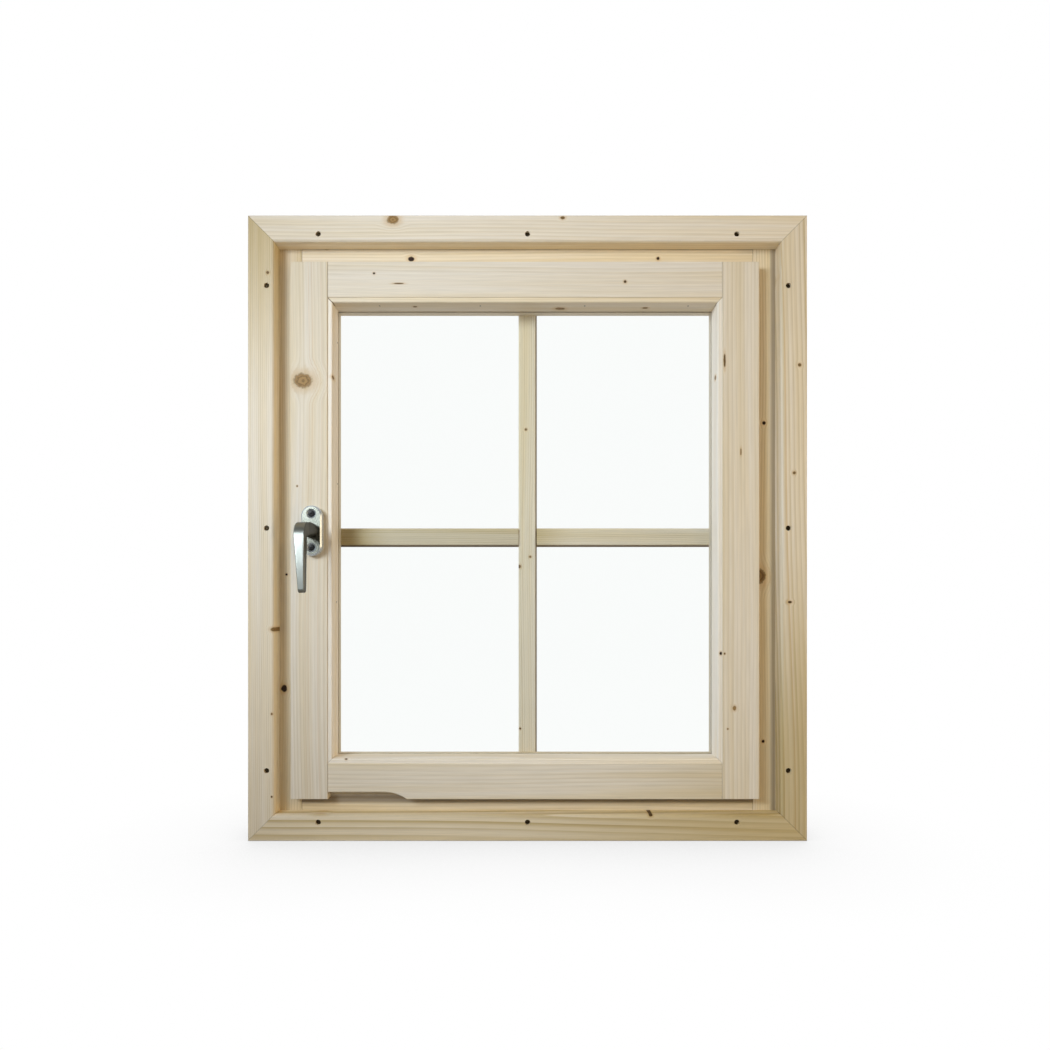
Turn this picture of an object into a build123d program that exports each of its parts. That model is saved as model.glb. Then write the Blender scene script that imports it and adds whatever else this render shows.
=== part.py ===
from build123d import *
import os

# Single casement window of planed spruce for a garden house, closed.
# Millimetres, Z up. The room is on the -Y side and the open air on the +Y side.
# The origin is the middle of the frame sill's underside.

# frame set in the wall opening
frame_width = 690.0
frame_height = 775.0
frame_face = 50.0
frame_depth = 45.0
frame_tenon = 15.0
frame_tenon_inset = 12.5
frame_ease = 0.6

# mitred trim that laps over the wall on the room side
trim_lap = 12.5
trim_face = 33.5
trim_thick = 21.0
trim_inner_round = 4.0
trim_outer_round = 1.5

# counterbored screw holes in the trim: across its face, and from its ends
screw_inset = 24.0
screw_end = 90.0
screw_head_r = 3.4
screw_head_depth = 5.0
screw_shank_r = 2.1

# sash, which lies on the frame's face with a lip
sash_lap_left = 9.5
sash_lap_right = 3.0
sash_lap_top = 5.5
sash_lap_bottom = 10.5
sash_thick = 44.0
sash_lip = 16.0
sash_gap = 2.5
stile_face = 47.5
rail_face = 46.0
sash_ease = 0.8
sash_tenon = 10.0

# glass, held between the sash's outer lip and the mitred beads of the room side
outer_lip = 10.0
glass_thick = 4.0
glass_gap = 1.0
bead_width = 6.0
bead_set = 1.0
bead_round = 2.0

# cut-out under the bottom rail, run out by a round cutter
notch_flat = 72.0
notch_depth = 9.4
notch_radius = 52.5

# glazing bars planted on the sash's outer face
bar_width = 24.5
bar_thick = 14.0
bar_lap = 20.0
bar_ease = 2.5
bar_shift_x = 3.75
bar_shift_z = -4.8

# handle on the left stile
plate_length = 64.0
plate_width = 26.0
plate_thick = 10.0
plate_bevel = 1.8
plate_inset = 29.5
plate_shift_z = -1.0
plate_screws = 43.0
plate_screw_r = 2.3
plate_sink_r = 6.2
plate_sink_depth = 3.0
journal_r = 7.0
journal_play = 0.08
spindle_side = 7.0
spindle_reach = 26.0
spindle_play = 1.0
spindle_end_gap = 2.0
neck_r = 9.3
neck_gap = 0.3
neck_lap = 2.0
lever_out = 51.0
lever_bend = 18.0
lever_top = 6.8
lever_under = 10.4
lever_drop = 80.0
lever_tilt = 2.2
grip_width = 13.2
grip_tip_width = 8.0
grip_thick = 12.0
grip_tip_thick = 9.0
grip_round = 1.0

# levels worked out from the sizes above
wall_y = -frame_depth / 2
trim_y = wall_y - trim_thick
mid_z = frame_height / 2
open_x = frame_width / 2 - frame_face
open_low = frame_face
open_high = frame_height - frame_face
sash_y = wall_y - sash_lip
back_y = sash_y + sash_thick
lip_y = back_y - outer_lip
glass_y = lip_y - glass_thick
bead_y = sash_y + bead_set
left_x = -open_x - sash_lap_left
right_x = open_x + sash_lap_right
low_z = open_low - sash_lap_bottom
high_z = open_high + sash_lap_top
sash_x = (left_x + right_x) / 2
sash_z = (low_z + high_z) / 2
inner_left = left_x + stile_face
inner_right = right_x - stile_face
inner_low = low_z + rail_face
inner_high = high_z - rail_face
body_x = open_x - sash_gap
body_low = open_low + sash_gap
body_high = open_high - sash_gap
sight_left = inner_left + bead_width
sight_right = inner_right - bead_width
sight_low = inner_low + bead_width
sight_high = inner_high - bead_width


def block(x0, x1, y0, y1, z0, z1):
    """A square-edged piece between the given faces."""
    centre = Pos((x0 + x1) / 2, (y0 + y1) / 2, (z0 + z1) / 2)
    return centre * Box(x1 - x0, y1 - y0, z1 - z0)


def plan_prism(points, y0, y1):
    """An outline in X and Z, carried through from y0 to y1."""
    outline = Polyline(*[(x, y1, z) for x, z in points], close=True)
    return extrude(make_face(outline), amount=y1 - y0, dir=(0, -1, 0))


def ease_front(piece, radius):
    """Round the arrises of the face that looks into the room."""
    return fillet(piece.faces().sort_by(Axis.Y)[0].edges(), radius)


def rail_section(x0, x1, y0, y1, z0, z1):
    """A straight strip along X, made by carrying its section along."""
    section = Plane.YZ.offset(x0) * Pos((y0 + y1) / 2, (z0 + z1) / 2) * Rectangle(y1 - y0, z1 - z0)
    return extrude(section, amount=x1 - x0)


def post_section(x0, x1, y0, y1, z0, z1):
    """A straight strip along Z, made by carrying its section along."""
    section = Plane.XY.offset(z0) * Pos((x0 + x1) / 2, (y0 + y1) / 2) * Rectangle(x1 - x0, y1 - y0)
    return extrude(section, amount=z1 - z0)


def arris(piece, axis, point):
    """The long edge of a strip that runs along the axis and passes nearest to the point."""
    return piece.edges().filter_by(axis).sort_by_distance(point)[0]


# trim: top and left strips are moulded, mitred and drilled, and the other two mirror them
half_w = frame_width / 2 + trim_lap
half_h = frame_height / 2 + trim_lap
trim_in_x = half_w - trim_face
trim_in_z = half_h - trim_face
top_z = mid_z + half_h
trim_low_z = mid_z + trim_in_z

head_strip = rail_section(-half_w, half_w, trim_y, wall_y, trim_low_z, top_z)
head_strip = fillet(arris(head_strip, Axis.X, (0, trim_y, trim_low_z)), trim_inner_round)
head_strip = fillet(arris(head_strip, Axis.X, (0, trim_y, top_z)), trim_outer_round)
head_mitre = [
    (-half_w, top_z),
    (half_w, top_z),
    (trim_in_x, trim_low_z),
    (-trim_in_x, trim_low_z),
]
trim_head = head_strip & plan_prism(head_mitre, trim_y - 1, wall_y)

side_strip = post_section(-half_w, -trim_in_x, trim_y, wall_y, mid_z - half_h, top_z)
side_strip = fillet(arris(side_strip, Axis.Z, (-trim_in_x, trim_y, mid_z)), trim_inner_round)
side_strip = fillet(arris(side_strip, Axis.Z, (-half_w, trim_y, mid_z)), trim_outer_round)
side_mitre = [
    (-half_w, top_z),
    (-trim_in_x, trim_low_z),
    (-trim_in_x, mid_z - trim_in_z),
    (-half_w, mid_z - half_h),
]
trim_left = side_strip & plan_prism(side_mitre, trim_y - 1, wall_y)


def screw_hole(x, z):
    """A shank hole through the trim with a counterbore for the head."""
    turn = Rot(90, 0, 0)
    shank = Pos(x, trim_y + trim_thick / 2, z) * turn * Cylinder(screw_shank_r, trim_thick)
    head = Pos(x, trim_y + screw_head_depth / 2, z) * turn * Cylinder(screw_head_r, screw_head_depth)
    return shank + head


row_x = half_w - screw_end
row_z = half_h - screw_end
for along in (-row_x, 0, row_x):
    trim_head = trim_head - screw_hole(along, top_z - screw_inset)
for along in (-row_z, 0, row_z):
    trim_left = trim_left - screw_hole(-half_w + screw_inset, mid_z + along)

trim_sill = mirror(trim_head, about=Plane.XY.offset(mid_z))
trim_right = mirror(trim_left, about=Plane.YZ)

# frame: jambs run through and take the tenons of the head and the sill
frame_x = frame_width / 2
tenon_y = -frame_tenon / 2
tenon_low = frame_tenon_inset
tenon_high = frame_face - frame_tenon_inset
frame_sill = block(-open_x, open_x, wall_y, -wall_y, 0, frame_face)
frame_sill = ease_front(frame_sill, frame_ease)
tenons = block(-frame_x, -open_x, tenon_y, -tenon_y, tenon_low, tenon_high)
tenons = tenons + block(open_x, frame_x, tenon_y, -tenon_y, tenon_low, tenon_high)
frame_sill = frame_sill + tenons
frame_head = mirror(frame_sill, about=Plane.XY.offset(mid_z))
frame_left_jamb = block(-frame_x, -open_x, wall_y, -wall_y, 0, frame_height)
frame_left_jamb = ease_front(frame_left_jamb, frame_ease)
mortise = block(-frame_x, -open_x, tenon_y, -tenon_y, tenon_low, tenon_high)
frame_left_jamb = frame_left_jamb - mortise
frame_left_jamb = frame_left_jamb - mirror(mortise, about=Plane.XY.offset(mid_z))
frame_right_jamb = mirror(frame_left_jamb, about=Plane.YZ)

# sash: stiles run through and are slotted for the tenons of the rails
sash_tenon_y = wall_y + (lip_y - wall_y - sash_tenon) / 2
sash_tenon_end = sash_tenon_y + sash_tenon
high_slot = block(-body_x, body_x, sash_tenon_y, sash_tenon_end, inner_high, body_high)
low_slot = block(-body_x, body_x, sash_tenon_y, sash_tenon_end, body_low, inner_low)

sash_left_stile = block(left_x, inner_left, sash_y, wall_y, low_z, high_z)
sash_left_stile = ease_front(sash_left_stile, sash_ease)
sash_left_stile = sash_left_stile + block(-body_x, inner_left, wall_y, back_y, body_low, body_high)
sash_left_stile = sash_left_stile + block(inner_left, sight_left, lip_y, back_y, body_low, body_high)
sash_left_stile = sash_left_stile - high_slot - low_slot

sash_right_stile = block(inner_right, right_x, sash_y, wall_y, low_z, high_z)
sash_right_stile = ease_front(sash_right_stile, sash_ease)
sash_right_stile = sash_right_stile + block(inner_right, body_x, wall_y, back_y, body_low, body_high)
sash_right_stile = sash_right_stile + block(sight_right, inner_right, lip_y, back_y, body_low, body_high)
sash_right_stile = sash_right_stile - high_slot - low_slot

sash_top_rail = block(inner_left, inner_right, sash_y, wall_y, inner_high, high_z)
sash_top_rail = ease_front(sash_top_rail, sash_ease)
sash_top_rail = sash_top_rail + block(inner_left, inner_right, wall_y, lip_y, inner_high, body_high)
sash_top_rail = sash_top_rail + block(sight_left, sight_right, lip_y, back_y, sight_high, body_high)
sash_top_rail = sash_top_rail + high_slot

cutter_x = inner_left + notch_flat
cutter_z = low_z + notch_depth - notch_radius
notch = block(inner_left - 1, cutter_x, sash_y - 1, wall_y, low_z - 1, low_z + notch_depth)
notch = notch + Pos(cutter_x, wall_y - sash_lip / 2, cutter_z) * Rot(90, 0, 0) * Cylinder(notch_radius, sash_lip + 2)
sash_bottom_rail = block(inner_left, inner_right, sash_y, wall_y, low_z, inner_low)
sash_bottom_rail = sash_bottom_rail - notch
sash_bottom_rail = ease_front(sash_bottom_rail, sash_ease)
sash_bottom_rail = sash_bottom_rail + block(inner_left, inner_right, wall_y, lip_y, body_low, inner_low)
sash_bottom_rail = sash_bottom_rail + block(sight_left, sight_right, lip_y, back_y, body_low, sight_low)
sash_bottom_rail = sash_bottom_rail + low_slot

# glass pane and its beads, moulded and mitred
glass_pane = block(
    inner_left + glass_gap,
    inner_right - glass_gap,
    glass_y,
    lip_y,
    inner_low + glass_gap,
    inner_high - glass_gap,
)

bead_strip = rail_section(inner_left, inner_right, bead_y, glass_y, sight_high, inner_high)
bead_strip = fillet(arris(bead_strip, Axis.X, (sash_x, bead_y, sight_high)), bead_round)
bead_mitre = [
    (inner_left, inner_high),
    (inner_right, inner_high),
    (sight_right, sight_high),
    (sight_left, sight_high),
]
bead_top = bead_strip & plan_prism(bead_mitre, bead_y - 1, glass_y)
bead_bottom = mirror(bead_top, about=Plane.XY.offset(sash_z))

bead_post = post_section(inner_left, sight_left, bead_y, glass_y, inner_low, inner_high)
bead_post = fillet(arris(bead_post, Axis.Z, (sight_left, bead_y, sash_z)), bead_round)
bead_side = [
    (inner_left, inner_high),
    (sight_left, sight_high),
    (sight_left, sight_low),
    (inner_left, inner_low),
]
bead_left = bead_post & plan_prism(bead_side, bead_y - 1, glass_y)
bead_right = mirror(bead_left, about=Plane.YZ.offset(sash_x))

# glazing bars: one upright and two short bars butted to it
bar_x = sash_x + bar_shift_x
bar_z = sash_z + bar_shift_z
bar_end_y = back_y + bar_thick
muntin_vertical = post_section(
    bar_x - bar_width / 2,
    bar_x + bar_width / 2,
    back_y,
    bar_end_y,
    sight_low - bar_lap,
    sight_high + bar_lap,
)
muntin_vertical = chamfer(muntin_vertical.faces().sort_by(Axis.Y)[0].edges().filter_by(Axis.Z), bar_ease)
muntin_vertical = fillet(muntin_vertical.faces().sort_by(Axis.Y)[-1].edges().filter_by(Axis.Z), bar_ease)


def cross_bar(x0, x1):
    """A short glazing bar with the same section as the upright."""
    bar = rail_section(x0, x1, back_y, bar_end_y, bar_z - bar_width / 2, bar_z + bar_width / 2)
    bar = chamfer(bar.faces().sort_by(Axis.Y)[0].edges().filter_by(Axis.X), bar_ease)
    return fillet(bar.faces().sort_by(Axis.Y)[-1].edges().filter_by(Axis.X), bar_ease)


muntin_left = cross_bar(sight_left - bar_lap, bar_x - bar_width / 2)
muntin_right = cross_bar(bar_x + bar_width / 2, sight_right + bar_lap)

# handle plate: a stadium with a rounded rim, two countersunk holes and the lever's bearing
hub_x = left_x + plate_inset
hub_z = sash_z + plate_shift_z
plate_y = sash_y - plate_thick
lying = Rot(90, 0, 0)
plate_face = Plane.XZ.offset(-sash_y) * Pos(hub_x, hub_z) * SlotOverall(plate_length, plate_width, rotation=90)
handle_plate = extrude(plate_face, amount=plate_thick)
handle_plate = chamfer(handle_plate.faces().sort_by(Axis.Y)[0].edges(), plate_bevel)
for step in (-plate_screws / 2, plate_screws / 2):
    hole = Pos(hub_x, sash_y - plate_thick / 2, hub_z + step) * lying * Cylinder(plate_screw_r, plate_thick)
    sink_y = plate_y + plate_sink_depth / 2
    sink = Pos(hub_x, sink_y, hub_z + step) * lying * Cone(plate_screw_r, plate_sink_r, plate_sink_depth)
    handle_plate = handle_plate - hole - sink
bearing_r = journal_r + journal_play
bearing = Pos(hub_x, sash_y - plate_thick / 2, hub_z) * lying * Cylinder(bearing_r, plate_thick)
handle_plate = handle_plate - bearing

spindle_end = sash_y + spindle_reach
bore_length = spindle_reach + spindle_end_gap
bore_r = 0.7072 * spindle_side + spindle_play
bore = Pos(hub_x, sash_y + bore_length / 2, hub_z) * lying * Cylinder(bore_r, bore_length)
sash_left_stile = sash_left_stile - bore

# lever: journal and square spindle, a neck that narrows, and a tapered grip that hangs down
neck_y = plate_y - neck_gap
out_y = plate_y - lever_out
bend_y = out_y + lever_bend
journal_end = sash_y - neck_gap
journal_length = journal_end - neck_y
journal = Pos(hub_x, (neck_y + journal_end) / 2, hub_z) * lying * Cylinder(journal_r, journal_length)
half_side = spindle_side / 2
spindle = block(hub_x - half_side, hub_x + half_side, journal_end, spindle_end, hub_z - half_side, hub_z + half_side)

neck_end = bend_y + neck_lap
head_z = hub_z + lever_top
under_z = hub_z - lever_under
neck_mid_y = (neck_y + neck_end) / 2
neck = Pos(hub_x, neck_mid_y, hub_z) * lying * Cone(neck_r, lever_under, neck_y - neck_end)
neck_plan = [
    (hub_x - neck_r, neck_y),
    (hub_x + neck_r, neck_y),
    (hub_x + grip_width / 2, neck_end),
    (hub_x - grip_width / 2, neck_end),
]
plan_outline = Polyline(*[(x, y, hub_z - 2 * neck_r) for x, y in neck_plan], close=True)
neck = neck & extrude(make_face(plan_outline), amount=4 * neck_r, dir=(0, 0, 1))
neck_side = [
    (neck_y, hub_z - 2 * neck_r),
    (neck_y, hub_z + neck_r),
    (neck_end, head_z),
    (neck_end, hub_z - 2 * neck_r),
]
side_outline = Polyline(*[(hub_x - neck_r, y, z) for y, z in neck_side], close=True)
neck = neck & extrude(make_face(side_outline), amount=2 * neck_r, dir=(1, 0, 0))

tip_z = hub_z - lever_drop
tip_r = grip_tip_thick / 2
tip_up = tip_z + tip_r
tip_back = out_y + grip_tip_thick
bend_z = head_z - lever_bend
knee_z = under_z - 2 * grip_round
grip_back = out_y + grip_thick
half_turn = 0.70711 * lever_bend
side_x = hub_x - grip_width / 2
bend_edge = [
    Line((side_x, neck_end, head_z), (side_x, bend_y, head_z)),
    ThreePointArc(
        (side_x, bend_y, head_z),
        (side_x, bend_y - half_turn, bend_z + half_turn),
        (side_x, out_y, bend_z),
    ),
    Line((side_x, out_y, bend_z), (side_x, out_y, knee_z)),
    Line((side_x, out_y, knee_z), (side_x, grip_back, knee_z)),
    Line((side_x, grip_back, knee_z), (side_x, grip_back, under_z)),
    Line((side_x, grip_back, under_z), (side_x, neck_end, under_z)),
    Line((side_x, neck_end, under_z), (side_x, neck_end, head_z)),
]
tip_x = hub_x - grip_tip_width / 2
tip_edge = [
    ThreePointArc((tip_x, out_y, tip_up), (tip_x, out_y + tip_r, tip_z), (tip_x, tip_back, tip_up)),
    Line((tip_x, tip_back, tip_up), (tip_x, out_y, tip_up)),
]


def rounded_length(edge, width, joint_z):
    """A side outline carried across the lever, its rims rounded except where the next length joins."""
    length = extrude(make_face(edge), amount=width, dir=(1, 0, 0))
    rims = [e for side in length.faces().filter_by(Axis.X) for e in side.edges()]
    rims = [e for e in rims if abs(e.center().Z - joint_z) > 0.01]
    rims = [e for e in rims if abs(e.center().Y - neck_end) > 0.01]
    return fillet(rims, grip_round)


def grip_section(z, width, thick):
    """The grip's section at a height, square with rounded corners."""
    return Plane.XY.offset(z) * Pos(hub_x, out_y + thick / 2) * RectangleRounded(width, thick, grip_round)


bend = rounded_length(bend_edge, grip_width, knee_z)
tip = rounded_length(tip_edge, grip_tip_width, tip_up)
low_section = grip_section(tip_up, grip_tip_width, grip_tip_thick)
high_section = grip_section(knee_z, grip_width, grip_thick)
grip = bend + loft([low_section, high_section], ruled=True) + tip
handle_lever = journal + spindle + neck + grip
turning_axis = Axis((hub_x, plate_y, hub_z), (0, -1, 0))
handle_lever = handle_lever.rotate(turning_axis, lever_tilt)

nodes = {
    "trim_head": trim_head,
    "trim_left": trim_left,
    "trim_right": trim_right,
    "trim_sill": trim_sill,
    "frame_head": frame_head,
    "frame_left_jamb": frame_left_jamb,
    "frame_right_jamb": frame_right_jamb,
    "frame_sill": frame_sill,
    "sash_left_stile": sash_left_stile,
    "sash_right_stile": sash_right_stile,
    "sash_top_rail": sash_top_rail,
    "sash_bottom_rail": sash_bottom_rail,
    "glass_pane": glass_pane,
    "bead_top": bead_top,
    "bead_bottom": bead_bottom,
    "bead_left": bead_left,
    "bead_right": bead_right,
    "muntin_vertical": muntin_vertical,
    "muntin_left": muntin_left,
    "muntin_right": muntin_right,
    "handle_plate": handle_plate,
    "handle_lever": handle_lever,
}

os.makedirs("parts", exist_ok=True)
for name, shape in nodes.items():
    export_step(shape, f"parts/{name}.step")
    print(name, len(shape.solids()), round(shape.volume / 1000, 2), "cm3")
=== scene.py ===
# %% [markdown]
# # A wooden casement window, seen from the room
# The window comes in as a fixed frame of named pieces, all in metres. This lesson gives every board
# its own planed spruce, the handle its satin nickel and the pane its clearness, adds the screws and
# brads, and sets up the light and the camera.

# %% The frame
import math
import bpy
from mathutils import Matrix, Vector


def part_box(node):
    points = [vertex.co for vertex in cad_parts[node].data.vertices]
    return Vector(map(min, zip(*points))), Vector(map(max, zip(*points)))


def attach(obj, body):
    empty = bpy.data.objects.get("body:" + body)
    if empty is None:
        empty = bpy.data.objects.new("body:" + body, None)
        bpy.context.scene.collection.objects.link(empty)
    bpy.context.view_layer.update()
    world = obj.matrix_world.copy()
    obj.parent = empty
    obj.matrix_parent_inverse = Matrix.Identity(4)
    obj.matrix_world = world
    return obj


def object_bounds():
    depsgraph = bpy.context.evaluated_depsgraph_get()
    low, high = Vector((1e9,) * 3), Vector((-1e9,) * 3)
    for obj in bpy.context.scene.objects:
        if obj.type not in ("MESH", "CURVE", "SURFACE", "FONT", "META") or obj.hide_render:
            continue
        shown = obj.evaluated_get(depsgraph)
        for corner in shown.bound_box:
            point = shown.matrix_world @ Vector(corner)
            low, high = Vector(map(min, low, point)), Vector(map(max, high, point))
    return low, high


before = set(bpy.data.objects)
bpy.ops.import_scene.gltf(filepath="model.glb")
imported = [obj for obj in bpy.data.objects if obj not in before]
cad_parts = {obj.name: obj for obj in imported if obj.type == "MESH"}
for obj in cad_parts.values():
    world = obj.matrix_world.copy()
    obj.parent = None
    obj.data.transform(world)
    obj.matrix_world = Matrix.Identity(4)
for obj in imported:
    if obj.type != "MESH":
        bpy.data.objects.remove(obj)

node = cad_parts
cad_low, cad_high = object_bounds()
MM = 0.001
print("pieces in the frame:", len(node))
print("size in millimetres:", [round((b - a) / MM) for a, b in zip(cad_low, cad_high)])

# %% [markdown]
# Finishes are wired from shader nodes, and by hand that takes many lines. A small helper adds a node,
# sets or joins its inputs and hands back its output, so that each later finish reads like a recipe.

# %% A helper that wires a finish
MIX_FIRST, MIX_SECOND, MIX_RESULT = 6, 7, 2  # the colour sockets of a Mix node


class Finish:
    """A material in the making. Each step adds one node and returns its output."""

    def __init__(self, name):
        self.material = bpy.data.materials.new(name)
        self.material.use_nodes = True
        self.tree = self.material.node_tree
        self.shader = self.tree.nodes["Principled BSDF"]

    def set(self, socket, value):
        """Joins another node's output to a socket, or gives the socket a plain value."""
        if isinstance(value, bpy.types.NodeSocket):
            self.tree.links.new(value, socket)
        elif socket.type == "RGBA":
            socket.default_value = (*value[:3], 1.0)
        else:
            socket.default_value = value

    def add(self, kind, *values, **settings):
        step = self.tree.nodes.new("ShaderNode" + kind)
        for name, value in settings.items():
            setattr(step, name, value)
        for socket, value in zip(step.inputs, values):
            self.set(socket, value)
        return step

    def math(self, operation, *values):
        return self.add("Math", *values, operation=operation).outputs[0]

    def minus(self, value, painted_turned_tone):
        return self.math("SUBTRACT", value, painted_turned_tone)

    def times(self, value, factor):
        return self.math("MULTIPLY", value, factor)

    def times_plus(self, value, factor, more):
        return self.math("MULTIPLY_ADD", value, factor, more)

    def point(self, along, across, through):
        return self.add("CombineXYZ", along, across, through).outputs[0]

    def parts(self, vector):
        return self.add("SeparateXYZ", vector).outputs

    def scaled(self, vector, factor):
        return self.add("VectorMath", vector, (factor,) * 3, operation="MULTIPLY").outputs[0]

    def length(self, vector):
        return self.add("VectorMath", vector, operation="LENGTH").outputs["Value"]

    def fade(self, value, start, end, low=0.0, high=1.0):
        """A soft step from low at start to high at end."""
        step = self.add("MapRange", value, start, end, low, high, interpolation_type="SMOOTHSTEP")
        return step.outputs[0]

    def noise(self, vector, detail=2.0):
        step = self.add("TexNoise")
        self.set(step.inputs["Vector"], vector)
        step.inputs["Scale"].default_value = 1.0
        step.inputs["Detail"].default_value = detail
        return step.outputs["Fac"]

    def blend(self, share, first, second, how="MIX"):
        step = self.add("Mix", data_type="RGBA", blend_type=how)
        self.set(step.inputs["Factor"], share)
        self.set(step.inputs[MIX_FIRST], first)
        self.set(step.inputs[MIX_SECOND], second)
        return step.outputs[MIX_RESULT]

    def bump(self, height, strength, depth):
        step = self.add("Bump")
        step.inputs["Strength"].default_value = strength
        step.inputs["Distance"].default_value = depth
        self.set(step.inputs["Height"], height)
        self.set(self.shader.inputs["Normal"], step.outputs[0])

    def use_instead(self, shader):
        """Takes another shader in place of the one that a material starts with."""
        self.tree.nodes.remove(self.shader)
        self.tree.links.new(shader, self.tree.nodes["Material Output"].inputs["Surface"])


def colour(red, green, blue):
    """A colour as seen on a screen, 0 to 255, in the linear values that shaders use."""
    screen = [c / 255 for c in (red, green, blue)]
    return tuple(c / 12.92 if c <= 0.04045 else ((c + 0.055) / 1.055) ** 2.4 for c in screen)


print("a finish starts with", len(Finish("trial").tree.nodes), "nodes")
bpy.data.materials.remove(bpy.data.materials["trial"])

# %% [markdown]
# Spruce is pale, with a darker line of late wood at the end of each year's ring. A board is cut out of
# a trunk, so the rings are circles about a pith that lies somewhere beside or behind the board. When
# the pattern is worked out from the distance to that pith, faces, edges and end grain all agree, which
# a flat picture of wood never does. First come the colours that all the boards share.

# %% Colours of the wood
PALE = colour(238, 226, 208)
WARM = colour(229, 208, 168)
LATE = colour(194, 168, 114)
KNOT_TAN = colour(178, 140, 86)
KNOT_DARK = colour(50, 29, 15)
KNOT_HALO = colour(208, 172, 118)
END_GRAIN = colour(190, 152, 104)
JOINT_AND_SHADE_LINE = colour(88, 64, 38)
# painted shade: multiplies a board's tone towards one end
PAINTED_SHADE_TINT = (0.74, 0.68, 0.50)  # the last two multiply the tone that a board has
# painted light: makes the faces that look sideways paler
PAINTED_REVEAL_LIGHT = (1.15, 1.16, 1.12)
print("spruce colours:", [tuple(round(c, 2) for c in tint) for tint in (PALE, WARM, LATE)])

# %% [markdown]
# Knots are where branches ran through the board. Each is an oval with a ragged outline, a halo of darker
# wood, narrow rings of its own and a dark rim. It could be painted by hand, but an oval that is worked
# out from its place and half sizes also tells how far any other spot lies from it, and the grain needs
# that to bend round it.

# %% Knots
RAGGED = 260.0  # waves in a metre of a knot's outline
RAGGED_BY = 0.5  # and how far they move it, as a share of the knot's half size
KNOT_RINGS = 13.0  # about two rings from the middle to the edge


def knot_reaches(f, along, across, knots):
    """How far a spot lies from the middle of each knot, where 1 is the knot's edge."""
    ragged = f.noise(f.point(f.times(along, RAGGED), f.times(across, RAGGED), 0.0), 1.0)
    reaches = []
    for knot_along, knot_across, half_along, half_across, dark in knots:
        off_along = f.math("DIVIDE", f.minus(along, knot_along * MM), half_along * MM)
        off_across = f.math("DIVIDE", f.minus(across, knot_across * MM), half_across * MM)
        reach = f.minus(f.length(f.point(off_along, off_across, 0.0)), RAGGED_BY / 2)
        reaches.append((f.times_plus(ragged, RAGGED_BY, reach), off_across, half_across, dark))
    return reaches


def draw_knots(f, tone, reaches):
    """A halo of darker wood, and inside it the knot with its own narrow rings and a dark rim."""
    for reach, _, _, dark in reaches:
        heart = tuple(t + dark * (d - t) for t, d in zip(KNOT_TAN, KNOT_DARK))
        rim = tuple(0.5 * c for c in heart)
        tone = f.blend(f.fade(reach, 0.9, 2.3, 0.55, 0.0), tone, KNOT_HALO)
        rings = f.fade(f.math("SINE", f.times(reach, KNOT_RINGS)), -0.5, 0.9, 0.0, 0.75)
        edge = f.times(f.fade(reach, 0.7, 0.9), 0.8)
        heart = f.blend(f.math("MAXIMUM", rings, edge), heart, rim)
        tone = f.blend(f.fade(reach, 0.75, 1.15, 1.0, 0.0), tone, heart)
    return tone


print("knots can be drawn")

# %% [markdown]
# The rings follow the trunk, which never grew quite straight, so the grain drifts slowly along a board
# and bends round each knot. Late wood darkens through the year and stops sharply where the next ring
# begins. Some years are better than others, so the lines differ in strength.

# %% Rings of the years
DRIFT = 10 * MM
DRIFT_ALONG, DRIFT_ACROSS = 3.0, 9.0  # waves in a metre
GOOD_YEARS = 0.45  # waves in a year
GOOD_ALONG = 1.5  # waves in a metre


def bent_grain(f, along, across, through, lean, seed, reaches):
    """The place across the board that a fibre would have in a straight trunk without knots."""
    slow = f.point(f.times_plus(along, DRIFT_ALONG, seed), f.times(across, DRIFT_ACROSS), through)
    drift = f.times_plus(f.noise(slow, 0.0), DRIFT, f.times(along, lean))
    wander = f.math("ADD", across, drift)
    for reach, off_across, half_across, _ in reaches:
        push = f.times(f.fade(reach, 0.6, 3.6, 0.8 * half_across * MM, 0.0), off_across)
        wander = f.minus(wander, push)
    return wander


def late_wood(f, along, wander, through, ring, pith, seed):
    """How much late wood a spot has, from its distance to the pith."""
    pith_across, pith_through = pith
    aside = f.point(0.0, f.minus(wander, pith_across * MM), f.minus(through, pith_through * MM))
    year = f.times(f.length(aside), 1 / (ring * MM))
    season = f.math("FRACT", year)
    late = f.times(f.fade(season, 0.25, 0.93), f.fade(season, 0.94, 1.0, 1.0, 0.0))
    good = f.noise(f.point(f.times(year, GOOD_YEARS), seed, f.times(along, GOOD_ALONG)), 0.0)
    return f.times(late, f.fade(good, 0.25, 0.75, 0.25, 1.0))


print("rings can be drawn")

# %% [markdown]
# A thin dark line shows where two boards meet, and a broad soft one is painted shade along a corner or
# an edge that stays in shade. Such a line goes through a place on the board's front. It fades a little
# way into the wood, so that nothing of it shows at the back.

# %% Dark lines
LINE_FADES, LINE_ENDS = 8 * MM, 14 * MM  # behind the board's front


def draw_joints_and_shade(f, tone, spot, front, joints):
    """Draws each dark line over the tone that a board has: thin ones at joints, broad ones as painted shade.
    """
    x, y, z = spot
    near_front = f.fade(y, front + LINE_FADES, front + LINE_ENDS, 1.0, 0.0)
    for line_x, line_z, turn, width, dark in joints:
        aside = f.times(f.minus(x, line_x * MM), math.cos(math.radians(turn)))
        off = f.times_plus(f.minus(z, line_z * MM), math.sin(math.radians(turn)), aside)
        line = f.fade(f.math("ABSOLUTE", off), 0.3 * width * MM, width * MM, dark, 0.0)
        tone = f.blend(f.times(line, near_front), tone, JOINT_AND_SHADE_LINE)
    return tone


print("dark lines can be drawn")
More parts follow.
